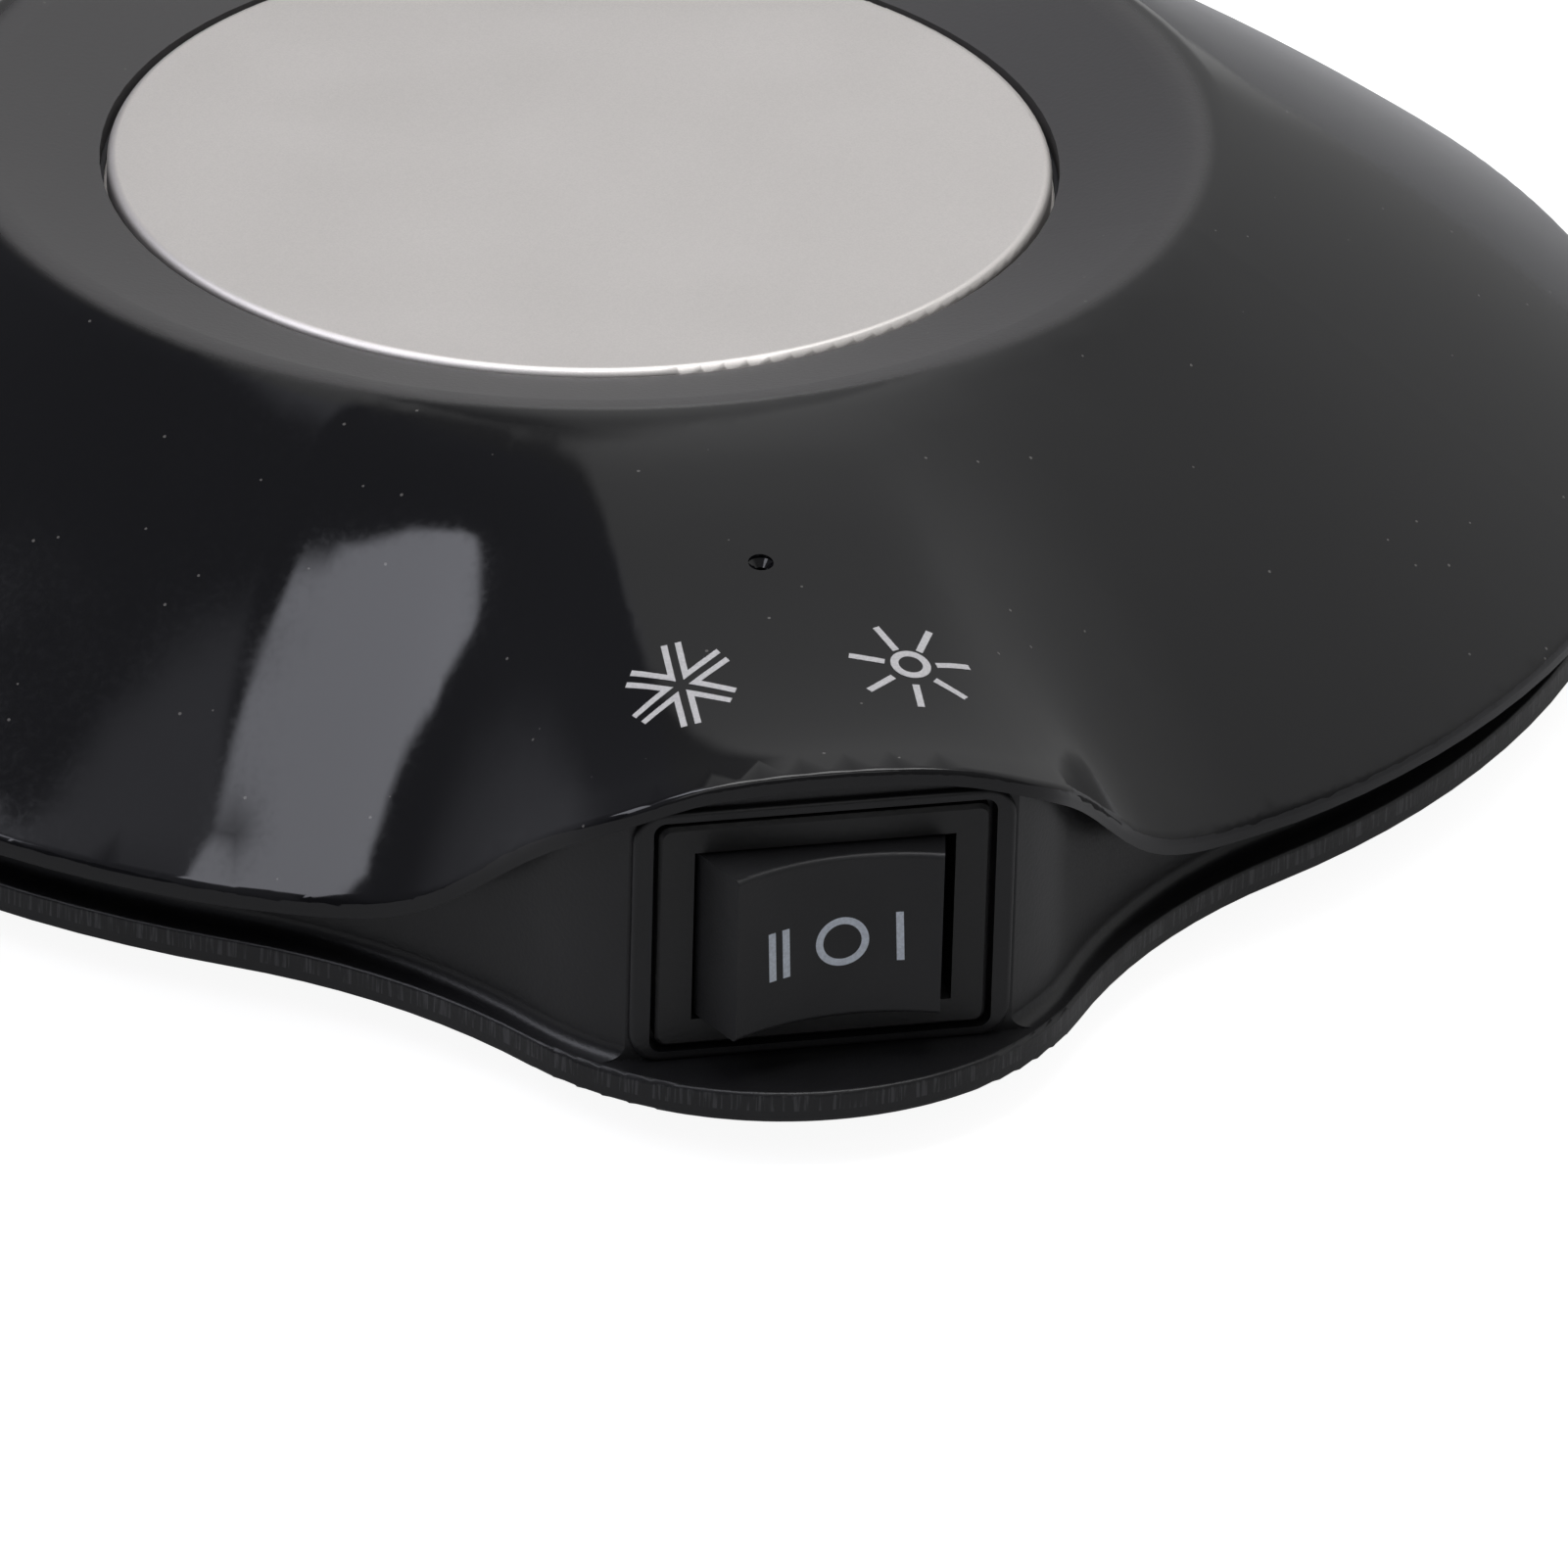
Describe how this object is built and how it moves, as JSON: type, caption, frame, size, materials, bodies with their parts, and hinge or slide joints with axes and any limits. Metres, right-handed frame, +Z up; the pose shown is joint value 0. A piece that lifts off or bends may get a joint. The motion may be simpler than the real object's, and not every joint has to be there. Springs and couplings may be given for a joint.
{
  "type": "electric mug warmer",
  "caption": "Round desktop mug warmer and cooler: aluminium plate in a glossy shell over a heat pump and fan, with a rocker switch under a raised visor.",
  "frame": {"origin": "on the ground under the middle of the bounding box; the plate's vertical axis is 7.2 mm behind it", "axes": "+Z up, -Y towards the rocker switch at the front, +X to the right as seen by someone facing the switch"},
  "size_m": [0.1454, 0.1594, 0.0307],
  "materials": {
    "gloss_black": "high gloss moulded, with a satin ring round the plate",
    "satin_black": "satin moulded",
    "switch_black": "fine textured",
    "rocker_black": "fine textured",
    "plate_aluminium": "fine satin anodised",
    "sink_aluminium": "extruded",
    "foot_rubber": "matt",
    "grey_silicone": "matt",
    "white_foam": "closed cell foam",
    "white_ceramic": "as fired",
    "pellet_metal": "cast",
    "cream_plastic": "moulded",
    "fan_plastic": "moulded",
    "bearing_bronze": "sintered",
    "core_steel": "laminated",
    "magnet_ferrite": "bonded ferrite",
    "screw_steel": "zinc plated",
    "board_green": "solder mask",
    "capacitor_sleeve": "sleeved can",
    "chip_plastic": "moulded",
    "pin_brass": "tinned brass",
    "contact_copper": "copper alloy strip",
    "led_resin": "clear tinted epoxy"
  },
  "bodies": {
    "base": {"upper_shell": "gloss_black", "housing": "satin_black", "bottom_cover": "satin_black", "rubber_feet": "foot_rubber", "case_screws": "screw_steel", "mug_plate": "plate_aluminium", "plate_gasket": "grey_silicone", "lower_thermal_pad": "grey_silicone", "upper_thermal_pad": "grey_silicone", "peltier_lower_ceramic": "white_ceramic", "peltier_upper_ceramic": "white_ceramic", "peltier_pellets": "pellet_metal", "foam_insulator": "white_foam", "thermal_cutout": "cream_plastic", "heat_sink": "sink_aluminium", "heat_sink_screws": "screw_steel", "fan_frame": "fan_plastic", "fan_bearing": "bearing_bronze", "fan_stator": "core_steel", "fan_screws": "screw_steel", "circuit_board": "board_green", "board_screws": "screw_steel", "board_capacitor": "capacitor_sleeve", "board_inductor": "core_steel", "board_driver": "chip_plastic", "board_connectors": "cream_plastic", "dc_jack": "chip_plastic", "dc_jack_pin": "pin_brass", "indicator_led": "led_resin", "switch_body": "switch_black", "switch_terminals": "pin_brass"},
    "rocker": {"switch_rocker": "rocker_black", "switch_plunger": "cream_plastic", "switch_spring": "screw_steel"},
    "contact": {"switch_contact": "contact_copper"},
    "fan": {"fan_rotor": "fan_plastic", "fan_magnet": "magnet_ferrite"}
  },
  "joints": [
    {"name": "rocker_tilt", "type": "hinge", "parent": "base", "child": "rocker", "pos_m": [0, -0.07312, 0.0144], "axis": [0, 0, -1], "range_deg": [0, 12]},
    {"name": "contact_tilt", "type": "hinge", "parent": "base", "child": "contact", "pos_m": [0, -0.06452, 0.0144], "axis": [0, 0, 1], "range_deg": [0, 12]},
    {"name": "fan_spin", "type": "hinge", "parent": "base", "child": "fan", "pos_m": [0, 0.00722, 0.0083], "axis": [0, 0, 1], "continuous": true}
  ],
  "couplings": [
    {"joint": "contact_tilt", "follows": "rocker_tilt", "ratio": 1}
  ]
}
